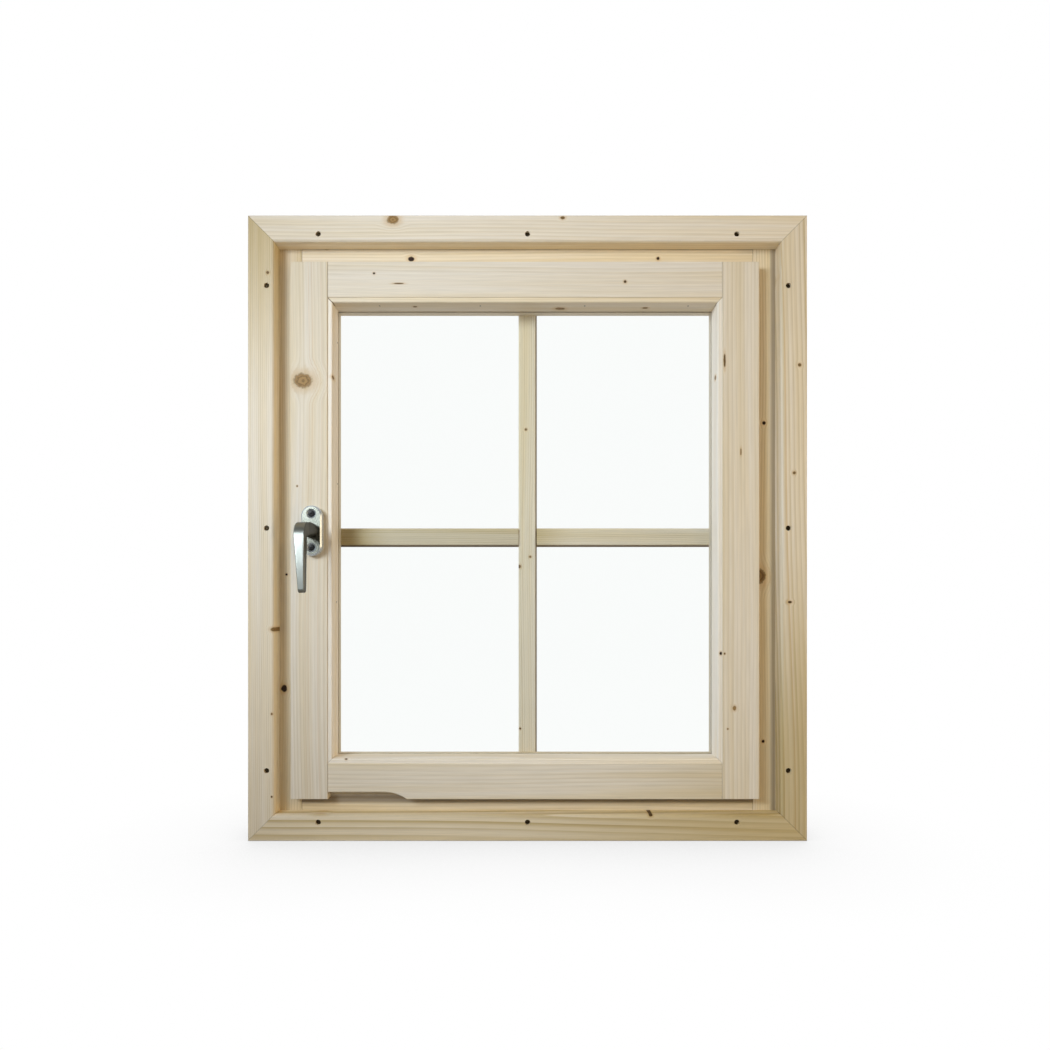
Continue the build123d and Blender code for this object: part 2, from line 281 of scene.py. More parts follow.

# %% [markdown]
# Now the finish of a whole board. Over the rings lie slow streaks of a warmer tone and the fine fibre
# that planing leaves, which also breaks up the gloss and gives a faint bump. End grain is browner. Some
# boards get painted shade that makes them darker and browner towards one end, and on some the faces
# that look sideways get painted light that makes them paler. One function holds all this, and each
# board then only says what is its own.

# %% Planed spruce
SEED_STEP = 0.37
FIBRE_ALONG, FIBRE_ACROSS = 22.0, 1100.0  # waves in a metre
STREAK_ALONG, STREAK_ACROSS = 1.8, 70.0
BEAD_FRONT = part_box("bead_top")[0][1]


def spruce(name, upright, ring, pith, lean=0.0, strength=0.5, warmth=0.35, shade=1.0, knots=(),
           arris=None, seams=(), joints=(), heart=None, fresh=False):
    """Planed spruce for one board, measured in millimetres. ring is the yearly growth and pith the middle
    of the trunk, across and behind the board. A knot has its place along and across the board, its half
    sizes and its darkness; with an arris, across is counted round that edge. A seam is a single dark
    ring. A dark line goes through a place (x, z), turned from the upright, with its half width and
    darkness; thin ones mark joints, broad ones are painted shade. Painted shade can also darken a board
    and turn it browner along its length, from where it begins to where it is full. Painted light can
    make the faces that look sideways paler."""
    f = Finish("spruce_" + name)
    x, y, z = f.parts(f.add("TexCoord").outputs["Object"])
    along, across = (z, x) if upright else (x, z)
    seed = SEED_STEP * len(bpy.data.materials)
    girth = across
    if arris:
        edge, way = arris
        girth = f.times_plus(f.minus(across, edge * MM), way, f.minus(y, BEAD_FRONT))
    reaches = knot_reaches(f, along, girth, knots) if knots else ()
    wander = bent_grain(f, along, across, y, lean, seed, reaches)
    late = late_wood(f, along, wander, y, ring, pith, seed)

    fibre_spot = (
        f.times(along, FIBRE_ALONG), f.times(across, FIBRE_ACROSS), f.times_plus(y, FIBRE_ACROSS, seed)
    )
    fine = f.noise(f.point(*fibre_spot), 1.0)
    streak_spot = (
        f.times_plus(along, STREAK_ALONG, seed), f.times(wander, STREAK_ACROSS), f.times(y, STREAK_ACROSS)
    )
    streak = f.noise(f.point(*streak_spot))
    tone = f.blend(f.fade(streak, 0.3, 0.72, warmth - 0.3, warmth + 0.3), PALE, WARM)
    tone = f.blend(f.times(late, strength), tone, LATE)
    for seam_across, seam_width, seam_strength in seams:
        off = f.math("ABSOLUTE", f.minus(wander, seam_across * MM))
        tone = f.blend(f.fade(off, 0.0, seam_width * MM, seam_strength, 0.0), tone, KNOT_HALO)
    fibre = f.fade(fine, 0.25, 0.75, 0.94, 1.03)
    tone = f.blend(1.0, tone, f.point(fibre, fibre, fibre), "MULTIPLY")
    tone = draw_knots(f, tone, reaches)
    if joints:
        tone = draw_joints_and_shade(f, tone, (x, y, z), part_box(name)[0][1], joints)

    facing = f.parts(f.add("NewGeometry").outputs["Normal"])
    end = f.fade(f.math("ABSOLUTE", facing[2 if upright else 0]), 0.75, 0.95, 0.0, 0.55)
    tone = f.blend(end, tone, END_GRAIN)
    # painted light: the faces that look sideways, such as the trim's inner faces, are made paler
    if fresh:
        tone = f.blend(f.fade(facing[1], -0.7, -0.3), tone, PAINTED_REVEAL_LIGHT, "MULTIPLY")
    tone = f.blend(1.0, tone, (shade, shade, shade), "MULTIPLY")
    # painted shade: darker and browner towards one end of the board
    if heart:
        tone = f.blend(f.fade(along, heart[0] * MM, heart[1] * MM), tone, PAINTED_SHADE_TINT, "MULTIPLY")
    f.set(f.shader.inputs["Base Color"], tone)
    f.set(f.shader.inputs["Roughness"], f.fade(fine, 0.2, 0.8, 0.56, 0.72))
    f.shader.inputs["Specular IOR Level"].default_value = 0.3
    f.bump(fine, 0.22, 0.25 * MM)
    return f.material


def dress(name, material):
    """Gives a piece of the frame its finish."""
    for slot in node[name].material_slots:
        slot.material = material
    print(name, "dressed in", material.name)


def board(name, **figure):
    """Gives a wooden piece a spruce of its own."""
    dress(name, spruce(name, **figure))


print("planed spruce can be made")

# %% [markdown]
# The trim hides the gap round the frame. Its left strip is cut with close, straight rings, and the right
# strip and the one under the window show a wide, slanting figure, so each board has its own ring width
# and pith. Three of them get painted shade that makes them darker and browner towards one end, and three
# get painted light that makes their inner faces paler. Knots sit where the real strips have them, and a
# thin open line runs along each mitre.

# %% Trim boards
board(
    # painted light makes this strip's inner faces paler
    "trim_head", upright=False, ring=3.4, pith=(700, 30), lean=0.004, strength=0.28, fresh=True,
    knots=[(-172, 781.6, 7.5, 5.5, 0.1), (45, 784, 3.0, 2.0, 0.5)],
)
board(
    # painted light makes this strip's inner faces paler
    "trim_left", upright=True, ring=2.3, pith=(-260, -10), strength=0.5, warmth=0.45, fresh=True,
    knots=[
        (714, -332, 1.9, 1.9, 0.5), (258, -324, 2.6, 4.5, 0.4), (150, -327, 1.6, 1.2, 0.4),
        (44, -327, 1.3, 1.0, 0.8),
    ],
    # painted shade: darker and browner towards the upper end
    heart=(520, 862), joints=[(-357.5, 787.5, 45, 0.9, 0.45), (-357.5, -12.5, -45, 0.9, 0.4)],
)
board(
    "trim_right", upright=True, ring=5.4, pith=(262, 6), lean=0.02, strength=0.75, warmth=0.45, shade=0.95,
    knots=[
        (712, 321.3, 4.6, 1.5, 0.8), (596, 347.7, 2.2, 2.2, 0.5), (458, 340.8, 2.0, 2.0, 0.6),
        (293, 335.2, 1.7, 2.8, 0.8), (607, 321.3, 1.2, 1.0, 0.4),
    ],
    # painted shade: darker and browner towards the lower end
    seams=[(346, 1.4, 0.6)], heart=(400, 80),
    joints=[(357.5, 787.5, -45, 0.9, 0.45), (357.5, -12.5, 45, 0.9, 0.55)],
)
board(
    # painted light makes this strip's inner faces paler
    "trim_sill", upright=False, ring=6.5, pith=(-40, 2), lean=0.02, strength=0.85, warmth=0.6, fresh=True,
    # painted shade: darker and browner towards the right end
    knots=[(-266, 24, 6.0, 2.0, 0.45), (157.5, 20.5, 2.6, 1.8, 0.75)], heart=(-260, 330),
)

# %% [markdown]
# The frame lies behind the trim and the sash. Its front face is mostly in their shadow, so a golden tone,
# a few strong knots and the open lines at its corner joints are what the eye catches there. A broad line
# of painted shade darkens the right jamb next to the trim, and another the sill under the sash's bottom
# rail.

# %% Frame boards
board(
    "frame_head", upright=False, ring=3.0, pith=(690, 40), strength=0.35, warmth=0.7, shade=1.06,
    knots=[(-152, 741.6, 4.2, 3.3, 1.0), (-262, 754.6, 3.2, 1.2, 0.5), (170.7, 742.3, 2.1, 2.1, 0.95)],
    joints=[(-295, 0, 0, 0.9, 0.7), (295, 0, 0, 0.9, 0.7), (0, 754, 90, 1.2, 0.5)],
)
board(
    "frame_left_jamb", upright=True, ring=2.6, pith=(-250, 20), strength=0.4, warmth=0.9, shade=0.94,
    knots=[(180, -318, 4.8, 4.0, 1.0), (329, -315, 1.5, 1.5, 1.0)],
)
board(
    "frame_right_jamb", upright=True, ring=2.8, pith=(380, 30), strength=0.5, warmth=0.85, shade=1.1,
    knots=[(527, 309.3, 2.4, 2.4, 1.0), (327, 302.5, 10.0, 9.0, 0.35), (111, 308.2, 2.0, 2.0, 1.0)],
    # a broad line of painted shade in the corner next to the right trim
    joints=[(324, 0, 0, 9.0, 0.6)],
)
board(
    "frame_sill", upright=False, ring=3.6, pith=(90, 40), strength=0.5, warmth=0.75,
    # the last line is painted shadow under the sash's bottom rail
    joints=[(-295, 0, 0, 0.9, 0.7), (295, 0, 0, 0.9, 0.7), (0, 36, 90, 8.0, 0.66)],
)

# %% [markdown]
# The sash is the part that is looked at most. Its stiles run through from top to bottom with the rails
# between them, so the grain turns at each corner. The left stile has one large pale knot and a few
# reddish rings that run down behind the handle.

# %% Sash boards
SASH_JOINTS = [(-257, 0, 0, 0.9, 0.6), (250.5, 0, 0, 0.9, 0.5)]  # where the rails meet the stiles
board(
    "sash_left_stile", upright=True, ring=3.2, pith=(-190, 60), strength=0.28, warmth=0.35, shade=0.93,
    knots=[(577.5, -288.7, 9.5, 12.0, 0.08), (442, -296, 1.2, 1.2, 0.4)],
    seams=[(-278, 1.1, 0.35), (-274, 1.1, 0.35), (-262, 1.4, 0.3)],
)
board(
    "sash_right_stile", upright=True, ring=3.0, pith=(215, 50), strength=0.32, warmth=0.3, shade=0.93,
    knots=[
        (603, 253.3, 9.0, 1.4, 0.6), (486, 274.2, 4.5, 0.9, 0.3), (226.6, 253.3, 1.4, 1.2, 0.6),
        (156.6, 265.8, 3.0, 2.4, 0.15), (130, 257.3, 1.2, 1.0, 0.4),
    ],
)
board(
    "sash_top_rail", upright=False, ring=3.8, pith=(640, 50), strength=0.24, warmth=0.3, shade=0.93,
    knots=[(-197.3, 715.3, 1.5, 1.4, 1.0), (-165.8, 702.3, 6.5, 0.9, 0.6), (125.4, 704.7, 1.9, 1.8, 0.8)],
    joints=SASH_JOINTS,
)
board(
    "sash_bottom_rail", upright=False, ring=3.4, pith=(140, 45), strength=0.3, warmth=0.4, shade=0.94,
    # painted shade: darker and browner towards the right end
    heart=(60, 480), joints=SASH_JOINTS,
)

# %% [markdown]
# Thin beads hold the pane on the room side. They are narrow strips, so the rings show as a few long
# lines. A knot of a bead often runs over its edge, so here a knot's place is counted along the bead and
# round that edge, with the inner face as plus.

# %% Beads
BEAD_RING = 2.6
board(
    "bead_top", upright=False, ring=BEAD_RING, pith=(640, 20), strength=0.35, warmth=0.45, arris=(678.5, -1),
    knots=[(-146.8, 13.5, 2.4, 1.8, 0.6), (42.5, 19.7, 6.5, 3.6, 0.2), (154.3, 17.5, 3.6, 2.4, 0.3)],
    joints=[(-257, 684.5, 45, 0.9, 0.8), (250.5, 684.5, -45, 0.9, 0.5)],
)
board(
    "bead_bottom", upright=False, ring=BEAD_RING, pith=(640, 20), strength=0.25, warmth=0.15, shade=1.08,
    arris=(91.5, 1), knots=[(-233.5, 0.3, 1.8, 1.6, 0.8)],
)
board(
    "bead_left", upright=True, ring=BEAD_RING, pith=(-320, 20), strength=0.3, warmth=0.15, shade=1.06,
    arris=(-251, 1), knots=[(583, 4, 2.4, 4.5, 0.3)],
    joints=[(-257, 684.5, 45, 0.9, 0.8), (-257, 85.5, -45, 0.9, 0.4), (-257, 0, 0, 0.9, 0.5)],
)
board(
    "bead_right", upright=True, ring=BEAD_RING, pith=(-320, 20), strength=0.2, warmth=0.05, shade=1.06,
    arris=(244.5, -1), knots=[(585, 11, 3.0, 3.4, 0.4), (227, -4.2, 2.2, 1.6, 1.0)],
    joints=[(250.5, 85.5, 45, 0.9, 0.3)],
)

# %% [markdown]
# Three bars behind the pane make the cross. The light comes from the left and above, and each bar gets
# one soft dark edge of painted shade, on the right of the upright and along the foot of the short ones.
# The short bars get painted shade that makes them darker and browner towards the left.

# %% Glazing bars
# painted shade along the foot of each short bar
PAINTED_FOOT_SHADE = [(0, 368, 90, 2.6, 0.85)]
board(
    "muntin_vertical", upright=True, ring=3.0, pith=(-60, 30), strength=0.45, warmth=0.45, shade=1.04,
    knots=[
        (525.5, -2, 1.7, 1.7, 0.5), (354, 3.8, 1.6, 1.6, 0.3), (341, -11, 2.4, 2.4, 0.6),
        (122.4, -9.7, 1.4, 1.4, 0.8),
    ],
    # painted shade along the upright's right edge
    joints=[(12.75, 0, 0, 2.6, 0.85)],
)
board(
    "muntin_left", upright=False, ring=2.4, pith=(300, 30), strength=0.6, warmth=0.65, shade=0.84,
    # painted shade: darker and browner towards the left end, where the stile shades the bar
    heart=(-180, -236), joints=PAINTED_FOOT_SHADE,
)
board(
    "muntin_right", upright=False, ring=2.4, pith=(300, 30), strength=0.5, warmth=0.35, shade=1.04,
    # painted shade: darker and browner towards the left end
    heart=(70, -10), joints=PAINTED_FOOT_SHADE,
)

# %% [markdown]
# Clear glass shows what is behind it and mirrors a little, more at a flat angle. A solid block of
# glass shader would keep the lamps from shining through, so the pane mixes a clear shader with a
# glossy one by the Fresnel law.

# %% The pane
GLASS_BENDS = 1.45
GLASS_MIRRORS = 0.35


def clear_glass():
    f = Finish("clear_glass")
    clear = f.add("BsdfTransparent", (0.985, 0.995, 0.99))
    mirror = f.add("BsdfGlossy")
    mirror.inputs["Roughness"].default_value = 0.02
    share = f.times(f.add("Fresnel", GLASS_BENDS).outputs[0], GLASS_MIRRORS)
    f.use_instead(f.add("MixShader", share, clear.outputs[0], mirror.outputs[0]).outputs[0])
    return f.material


dress("glass_pane", clear_glass())

# %% [markdown]
# The handle is cast metal with a satin nickel face. Satin means that the gloss is broken up by very
# fine pits, so the roughness varies from spot to spot and a faint bump catches the light. The faces
# that look into the room get the satin nickel. On the lever's flanks and neck a darker tone is painted
# shade, and on the plate's rims and sinks a pale, less metallic tone is a painted highlight, so the
# direction that a face looks in picks its tone.

# %% Satin nickel
NICKEL = colour(150, 149, 138)
PLATE_GREY = colour(160, 158, 142)
# painted shade for the lever's flanks and neck, and a painted highlight for the plate's rims and sinks
PAINTED_NECK_SHADE = colour(66, 64, 54)
PAINTED_RIM_HIGHLIGHT = colour(216, 226, 236)
PITS, CLOUDS = 1400.0, 60.0  # waves in a metre
PIT_DEEP = 0.0018 * MM
BOW_FOOT = 315 * MM  # the height where the lever's front starts to lean back
BOW_RISE = 57 * MM  # how much higher the lean is as steep as the bow says


def satin_nickel(name, tint, rough, edge, painted_turned_tone, metal=1.0, bow=0.0):
    """Satin nickel for the faces that look into the room, and a painted tone for those turned away, from the
    first to the second value of edge: painted shade on the lever, a painted highlight on the plate. metal
    is how metallic the turned ones are, and bow is a slope."""
    f = Finish(name)
    here = f.add("TexCoord").outputs
    grit = f.noise(f.scaled(here["Object"], PITS), 3.0)
    cloud = f.noise(f.scaled(here["Object"], CLOUDS))
    dull = tuple(0.86 * c for c in tint)
    front = f.blend(f.fade(cloud, 0.35, 0.7), tint, dull)
    # painted light on the faces turned away from the room: shade on the lever, a highlight on the plate
    turned = f.fade(f.parts(here["Normal"])[1], *edge)
    f.set(f.shader.inputs["Base Color"], f.blend(turned, front, painted_turned_tone))
    f.set(f.shader.inputs["Metallic"], f.times_plus(turned, metal - 1.0, 1.0) if metal < 1.0 else metal)
    f.set(f.shader.inputs["Roughness"], f.fade(grit, 0.3, 0.7, rough - 0.03, rough + 0.05))
    lean = 0.0
    if bow:
        above = f.math("MAXIMUM", f.minus(f.parts(here["Object"])[2], BOW_FOOT), 0.0)
        lean = f.times(f.times(above, above), -bow / (2 * BOW_RISE))
    f.bump(f.times_plus(grit, PIT_DEEP, lean), 1.0, 1.0)
    return f.material


dress("handle_plate", satin_nickel(
    "satin_nickel_plate", tint=PLATE_GREY, rough=0.26, edge=(-0.95, -0.6), painted_turned_tone=PAINTED_RIM_HIGHLIGHT, metal=0.35
))
dress("handle_lever", satin_nickel(
    "satin_nickel_lever", tint=NICKEL, rough=0.36, edge=(-0.7, -0.2), painted_turned_tone=PAINTED_NECK_SHADE, bow=0.12
))

# %% [markdown]
# Screws and brads are small, and they are modelled as by hand. Each starts from a round primitive. The
# face of the head is inset and raised to a crown, and the shank is drawn out of the other face. The cross
# in a screw is easiest to cut with a second shape, a block with four arms, taken away by a Boolean
# modifier.

# %% Tools for modelling by hand
ROOM, WALL = (0, -1, 0), (0, 1, 0)
DOWN, UP = (0, 0, -1), (0, 0, 1)
SMOOTH_UNDER = math.radians(35)
FACING = 0.9  # from here on a face counts as looking one way, where 1 is straight


def start_clean():
    """Nothing selected, and no object being edited."""
    if bpy.context.object and bpy.context.object.mode != "OBJECT":
        bpy.ops.object.mode_set(mode="OBJECT")
    bpy.ops.object.select_all(action="DESELECT")


def looks(way):
    """A test that passes faces which look in one direction."""
    return lambda centre, normal: sum(a * b for a, b in zip(normal, way)) > FACING


def pick_faces(piece, wanted):
    """Selects the faces whose middle and normal pass the test, and leaves the piece in edit mode."""
    bpy.ops.object.mode_set(mode="OBJECT")
    for kind in (piece.data.vertices, piece.data.edges, piece.data.polygons):
        kind.foreach_set("select", [False] * len(kind))
    for face in piece.data.polygons:
        face.select = wanted(face.center, face.normal)
    bpy.ops.object.mode_set(mode="EDIT")
    bpy.ops.mesh.select_mode(type="FACE")


def draw_out(way, length):
    """Draws what is selected out in one direction."""
    bpy.ops.mesh.extrude_region_move(TRANSFORM_OT_translate={"value": [length * w for w in way]})


def crown(piece, way, rim, rise):
    """Raises the face that looks one way, inside a sloping rim."""
    pick_faces(piece, looks(way))
    bpy.ops.mesh.inset(thickness=rim)
    bpy.ops.transform.translate(value=[rise * w for w in way])


def shank(piece, way, step, length, tip):
    """Draws a shank out of the face that looks one way, a step inside its edge, and narrows its tip."""
    pick_faces(piece, looks(way))
    if step:
        bpy.ops.mesh.inset(thickness=step)
    draw_out(way, length)
    narrow = [1 if w else tip for w in way]
    bpy.ops.transform.resize(value=narrow, center_override=[length * w for w in way])
    bpy.ops.object.mode_set(mode="OBJECT")


print("tools ready")

# %% [markdown]
# A screwdriver's point is a cross that narrows towards its end. Its shape starts as a cube, four sides
# are drawn out to arms, and the end is drawn in. Half of it stays in front of the head, so that the cut
# is open there.

# %% Cutting a cross
POINT_NARROWS = 0.6


def cross_cutter(arm, width, depth, front):
    """A block with four arms, half of it before the front and half behind."""
    start_clean()
    bpy.ops.mesh.primitive_cube_add(size=width, location=(0, front, 0))
    cutter = bpy.context.object
    bpy.ops.transform.resize(value=(1, 2 * depth / width, 1))
    bpy.ops.object.transform_apply(location=True, rotation=True, scale=True)
    for side in ((1, 0, 0), (-1, 0, 0), UP, DOWN):
        pick_faces(cutter, lambda c, n: looks(side)(c, n) and abs(c.x) + abs(c.z) < width)
        draw_out(side, arm)
    pick_faces(cutter, looks(WALL))
    bpy.ops.transform.resize(value=(POINT_NARROWS, 1, POINT_NARROWS), center_override=(0, front + depth, 0))
    bpy.ops.object.mode_set(mode="OBJECT")
    return cutter


def cut_away(piece, cutter):
    """Takes the cutter's shape out of the piece and throws the cutter away."""
    start_clean()
    piece.select_set(True)
    bpy.context.view_layer.objects.active = piece
    cut = piece.modifiers.new("cross", "BOOLEAN")
    cut.operation = "DIFFERENCE"
    cut.object = cutter
    bpy.ops.object.modifier_apply(modifier=cut.name)
    bpy.data.objects.remove(cutter)


print("a cross can be cut")

# %% [markdown]
# Every strip of trim is held by three screws whose heads lie at the bottom of a counterbore. The screw
# is modelled once, at the origin, with its face towards the room.

# %% The trim screw
ROUND = 32
HEAD_R = 3.1 * MM
HEAD_THICK = 2.2 * MM
HEAD_RIM = 0.8 * MM
HEAD_RISE = 0.35 * MM
SHANK_R = 1.9 * MM
SHANK_LONG = 12 * MM


def trim_screw():
    start_clean()
    bpy.ops.mesh.primitive_cylinder_add(
        vertices=ROUND, radius=HEAD_R, depth=HEAD_THICK,
        location=(0, -HEAD_THICK / 2, 0), rotation=(math.pi / 2, 0, 0),
    )
    screw = bpy.context.object
    bpy.ops.object.transform_apply(location=True, rotation=True, scale=True)
    crown(screw, ROOM, HEAD_RIM, HEAD_RISE)
    shank(screw, WALL, HEAD_R - SHANK_R, SHANK_LONG, tip=0.8)
    face_y = -HEAD_THICK - HEAD_RISE
    cut_away(screw, cross_cutter(arm=0.75 * MM, width=0.7 * MM, depth=1.1 * MM, front=face_y))
    bpy.ops.object.shade_smooth_by_angle(angle=SMOOTH_UNDER)
    return screw


first_screw = trim_screw()
print("screw faces:", len(first_screw.data.polygons))

# %% [markdown]
# The twelve holes follow the trim: three in each strip, the outer ones at the same distance from the
# corners. The places come from the trim's own boxes, so they move with it. Each copy of the screw has
# its own mesh, with its place in the mesh, as the frame's own pieces have.

# %% Twelve screws in the trim
SCREW_INSET = 24 * MM
SCREW_END = 90 * MM
SEAT = 5 * MM
head_low, head_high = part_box("trim_head")
left, right = head_low[0], head_high[0]
low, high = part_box("trim_sill")[0][2], head_high[2]
seat_y = head_low[1] + SEAT


def copy_to(piece, name, place, turn=0.0):
    """A copy with its own mesh, turned about the line from the room to the wall and moved to its place."""
    start_clean()
    twin = piece.copy()
    twin.data = piece.data.copy()
    twin.name = name
    bpy.context.scene.collection.objects.link(twin)
    twin.select_set(True)
    bpy.context.view_layer.objects.active = twin
    twin.rotation_euler = (0, turn, 0)
    twin.location = place
    bpy.ops.object.transform_apply(location=True, rotation=True, scale=True)
    return twin


in_a_row = (left + SCREW_END, (left + right) / 2, right - SCREW_END)
in_a_column = (high - SCREW_END, (low + high) / 2, low + SCREW_END)
holes = [(x, z) for z in (high - SCREW_INSET, low + SCREW_INSET) for x in in_a_row]
holes += [(x, z) for x in (left + SCREW_INSET, right - SCREW_INSET) for z in in_a_column]
screws = []
for number, (x, z) in enumerate(holes, start=1):
    screws.append(copy_to(first_screw, f"trim_screw_{number:02d}", (x, seat_y, z), turn=0.7 * number))
bpy.data.objects.remove(first_screw)
print("trim screws:", len(screws))

# %% [markdown]
# The plate's two screws have larger, blackened heads that sit in the countersinks. A countersunk head
# is a cone with a flat top, so it starts from a cone.

# %% Two black screws in the handle plate
PLATE_HEAD_R = 4.25 * MM
PLATE_HEAD_DEEP = 1.58 * MM
PLATE_HEAD_RIM = 0.7 * MM
PLATE_HEAD_RISE = 0.3 * MM
PLATE_SHANK_R = 2.2 * MM
PLATE_SHANK_LONG = 5 * MM
PLATE_SUNK = 1.4 * MM
PLATE_STEP = 21.5 * MM
plate_low, plate_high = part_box("handle_plate")
plate_x = (plate_low[0] + plate_high[0]) / 2
plate_z = (plate_low[2] + plate_high[2]) / 2
sunk_y = plate_low[1] + PLATE_SUNK


def plate_screw():
    start_clean()
    bpy.ops.mesh.primitive_cone_add(
        vertices=ROUND, radius1=PLATE_HEAD_R, radius2=PLATE_SHANK_R, depth=PLATE_HEAD_DEEP,
        location=(0, PLATE_HEAD_DEEP / 2, 0), rotation=(-math.pi / 2, 0, 0),
    )
    screw = bpy.context.object
    bpy.ops.object.transform_apply(location=True, rotation=True, scale=True)
    crown(screw, ROOM, PLATE_HEAD_RIM, PLATE_HEAD_RISE)
    shank(screw, WALL, 0, PLATE_SHANK_LONG, tip=1)
    cut_away(screw, cross_cutter(arm=1.2 * MM, width=0.9 * MM, depth=1.3 * MM, front=-PLATE_HEAD_RISE))
    bpy.ops.object.shade_smooth_by_angle(angle=SMOOTH_UNDER)
    return screw


first_plate_screw = plate_screw()
plate_screws = [
    copy_to(first_plate_screw, "plate_screw_upper", (plate_x, sunk_y, plate_z + PLATE_STEP), turn=0.3),
    copy_to(first_plate_screw, "plate_screw_lower", (plate_x, sunk_y, plate_z - PLATE_STEP), turn=0.9),
]
bpy.data.objects.remove(first_plate_screw)
print("plate screws:", [s.name for s in plate_screws])

# %% [markdown]
# Brads, thin nails with a small domed head, hold the beads. Four show under the top bead and three on the
# left one. One is made, head down, from a short cylinder, and the copies are turned to face the opening.

# %% Seven brads in the beads
BRAD_ROUND = 20
BRAD_R = 0.95 * MM
BRAD_THICK = 0.6 * MM
BRAD_SUNK = 0.2 * MM
BRAD_RIM = 0.4 * MM
BRAD_RISE = 0.15 * MM
WIRE_R = 0.45 * MM
WIRE_LONG = 9 * MM
TOP_BRADS_X = (-192.3, -61.3, 74.6, 209.1)
TOP_BRADS_Y = -26.5
LEFT_BRADS_YZ = ((-12.3, 635.7), (-12.3, 449.2), (-18.3, 293.1))


def brad():
    start_clean()
    bpy.ops.mesh.primitive_cylinder_add(
        vertices=BRAD_ROUND, radius=BRAD_R, depth=BRAD_THICK, location=(0, 0, BRAD_SUNK)
    )
    nail = bpy.context.object
    bpy.ops.object.transform_apply(location=True, rotation=True, scale=True)
    crown(nail, DOWN, BRAD_RIM, BRAD_RISE)
    shank(nail, UP, BRAD_R - WIRE_R, WIRE_LONG, tip=0.3)
    bpy.ops.object.shade_smooth_by_angle(angle=SMOOTH_UNDER)
    return nail


first_brad = brad()
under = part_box("bead_top")[0][2]
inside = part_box("bead_left")[1][0]
brads = []
for number, x in enumerate(TOP_BRADS_X, start=1):
    brads.append(copy_to(first_brad, f"brad_top_{number}", (x * MM, TOP_BRADS_Y * MM, under)))
for number, (y, z) in enumerate(LEFT_BRADS_YZ, start=1):
    place = (inside, y * MM, z * MM)
    brads.append(copy_to(first_brad, f"brad_left_{number}", place, turn=-math.pi / 2))
bpy.data.objects.remove(first_brad)
print("brads:", [b.name for b in brads])

# %% [markdown]
# Steel screws in new wood are dull and rather dark. A cloudy noise breaks up the gloss, and the black
# ones are only a darker version of the same finish.

# %% Screw steel
STAINS = 900.0  # waves in a metre


def screw_steel(name, tint, rough):
    f = Finish(name)
    cloud = f.noise(f.scaled(f.add("TexCoord").outputs["Object"], STAINS), 3.0)
    stain = tuple(0.55 * c for c in tint)
    f.set(f.shader.inputs["Base Color"], f.blend(f.fade(cloud, 0.35, 0.65), tint, stain))
    f.set(f.shader.inputs["Roughness"], f.fade(cloud, 0.3, 0.7, rough, rough + 0.2))
    f.shader.inputs["Metallic"].default_value = 0.9
    return f.material


dull_steel = screw_steel("screw_steel", tint=colour(84, 70, 48), rough=0.45)
blackened = screw_steel("blackened_steel", tint=colour(52, 50, 48), rough=0.38)
for fixing in screws + plate_screws + brads:
    fixing.data.materials.clear()
    fixing.data.materials.append(dull_steel if fixing in screws else blackened)
    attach(fixing, "window")
print("screws and brads dressed:", len(screws + plate_screws + brads))

# %% [markdown]
# The window stands on a white sweep, a sheet that runs back along the floor and curves up into a wall,
# so that no line shows behind the glass. It starts as a plane whose back edge is drawn up, and the fold
# is rounded with a bevel.

# %% The white sweep
SWEEP_WIDE, SWEEP_DEEP, SWEEP_TALL = 30, 9, 7
SWEEP_FOLD = 1.6
UNDER_THE_TRIM = 0.5 * MM


def white_sweep(floor_z):
    start_clean()
    bpy.ops.mesh.primitive_plane_add(size=1, location=(0, -1.0, floor_z))
    sweep = bpy.context.object
    sweep.name = "white_sweep"
    bpy.ops.transform.resize(value=(SWEEP_WIDE, SWEEP_DEEP, 1))
    bpy.ops.object.transform_apply(location=True, rotation=True, scale=True)
    back = max(v.co.y for v in sweep.data.vertices)
    for edge in sweep.data.edges:
        edge.select = all(sweep.data.vertices[i].co.y > back - 0.01 for i in edge.vertices)
    bpy.ops.object.mode_set(mode="EDIT")
    bpy.ops.mesh.select_mode(type="EDGE")
    draw_out(UP, SWEEP_TALL)
    bpy.ops.object.mode_set(mode="OBJECT")
    fold = sweep.modifiers.new("fold", "BEVEL")
    fold.width = SWEEP_FOLD
    fold.segments = 12
    bpy.ops.object.modifier_apply(modifier=fold.name)
    bpy.ops.object.shade_smooth()
    return sweep


sweep = white_sweep(cad_low[2] - UNDER_THE_TRIM)
print("sweep faces:", len(sweep.data.polygons))

# %% [markdown]
# To the eye the sheet is plain white with a faint painted shadow where the window stands, made from
# ambient occlusion. For the light it is a pale grey sheet whose back half glows and sends light through
# the opening, as a lit wall would.

# %% White sheet
GLOW = 0.55
GLOW_BEGINS, GLOW_FULL = 0.0, 0.7  # metres behind the window's plane
SHEET_GREY = (0.5, 0.5, 0.5)
SHADE_REACH = 0.25
SHADE_DARKEST = 0.72
white = Finish("white_sheet")
far = white.parts(white.add("TexCoord").outputs["Object"])[1]
glow = white.add("Emission", (1, 1, 1), white.fade(far, GLOW_BEGINS, GLOW_FULL, 0.0, GLOW))
matt = white.add("BsdfDiffuse", SHEET_GREY)
lighting = white.add("AddShader", matt.outputs[0], glow.outputs[0])
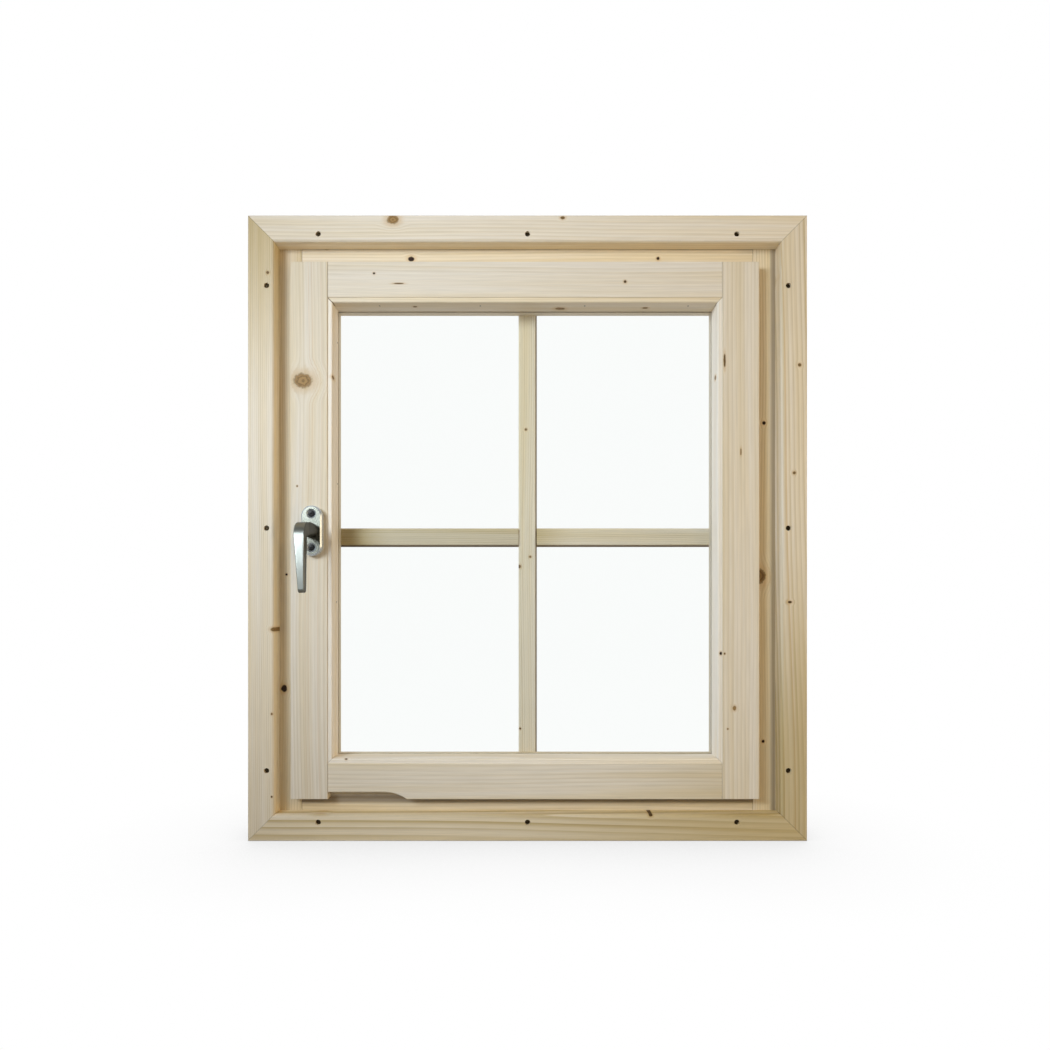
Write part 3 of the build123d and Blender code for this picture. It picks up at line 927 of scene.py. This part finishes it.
# painted shadow: the sheet looks darker where ambient occlusion finds the window close by
nearby = white.add("AmbientOcclusion", samples=4)
nearby.inputs["Distance"].default_value = SHADE_REACH
seen = white.add("Emission", (1, 1, 1), white.fade(nearby.outputs["AO"], 0.3, 0.95, SHADE_DARKEST, 1.0))
looked_at = white.add("LightPath").outputs["Is Camera Ray"]
white.use_instead(white.add("MixShader", looked_at, lighting.outputs[0], seen.outputs[0]).outputs[0])
sweep.data.materials.append(white.material)
print("sheet finished in", white.material.name)

# %% [markdown]
# Cool light comes from the left and in front, as a wide soft beam that fades towards the lower corners,
# and it throws the shadows beside the left strip and on the left bar. A broad warm panel stands on the
# right and higher up, a warm card at the side brightens the inner faces and the plate's rim, and a dim
# warm surrounding fills the corners. That is why the lit faces look cream and the shaded ones golden.
# The panel is kept out of mirrors, or its round shape would show in the pane.

# %% Light
COOL = (0.74, 0.86, 1.0)
GOLDEN = (1.0, 0.78, 0.46)


def lamp(kind, name, place, aim, power, tint):
    """A lamp at a place, turned to shine at its aim."""
    data = bpy.data.lights.new(name, kind)
    data.energy = power
    data.color = tint
    light = bpy.data.objects.new(name, data)
    bpy.context.scene.collection.objects.link(light)
    light.location = place
    ahead = [b - a for a, b in zip(place, aim)]
    flat = math.hypot(ahead[0], ahead[1])
    light.rotation_euler = (math.atan2(flat, -ahead[2]), 0, math.atan2(-ahead[0], ahead[1]))
    return light


beam = lamp("SPOT", "beam", place=(-0.90, -1.15, 0.86), aim=(0.10, 0, 0.43), power=87, tint=COOL)
beam.data.spot_size = math.radians(63)
beam.data.spot_blend = 1.0
beam.data.shadow_soft_size = 0.32
warm_panel = lamp("AREA", "warm_panel", place=(1.1, -1.9, 1.35), aim=(0, 0, 0.45), power=7.6, tint=GOLDEN)
warm_panel.data.shape = "DISK"
warm_panel.data.size = 1.0
warm_panel.visible_glossy = False
side_card = lamp("AREA", "side_card", place=(1.5, -0.5, 0.45), aim=(-0.3, 0, 0.4), power=6, tint=GOLDEN)
side_card.data.size = 0.7
surround = bpy.data.worlds.new("surround")
surround.use_nodes = True
fill = surround.node_tree.nodes["Background"]
fill.inputs["Color"].default_value = (*GOLDEN, 1)
fill.inputs["Strength"].default_value = 0.2
bpy.context.scene.world = surround
bpy.context.scene.view_settings.view_transform = "Standard"
print("lamps:", beam.name, warm_panel.name, side_card.name)

# %% [markdown]
# The camera looks straight at the window from a little under its middle and close by, which is why the
# inner faces show. The lens is shifted up rather than tilted, so that the uprights stay parallel.

# %% Camera
eye = bpy.data.cameras.new("photo_camera")
eye.sensor_width = 36
eye.lens = 24.15
eye.shift_x = 0.0014
eye.shift_y = 0.0733
camera = bpy.data.objects.new("photo_camera", eye)
bpy.context.scene.collection.objects.link(camera)
camera.location = (-0.0051, -0.9435, 0.2931)
camera.rotation_euler = (math.pi / 2, 0, 0)
bpy.context.scene.camera = camera
print("camera at", [round(c, 3) for c in camera.location])
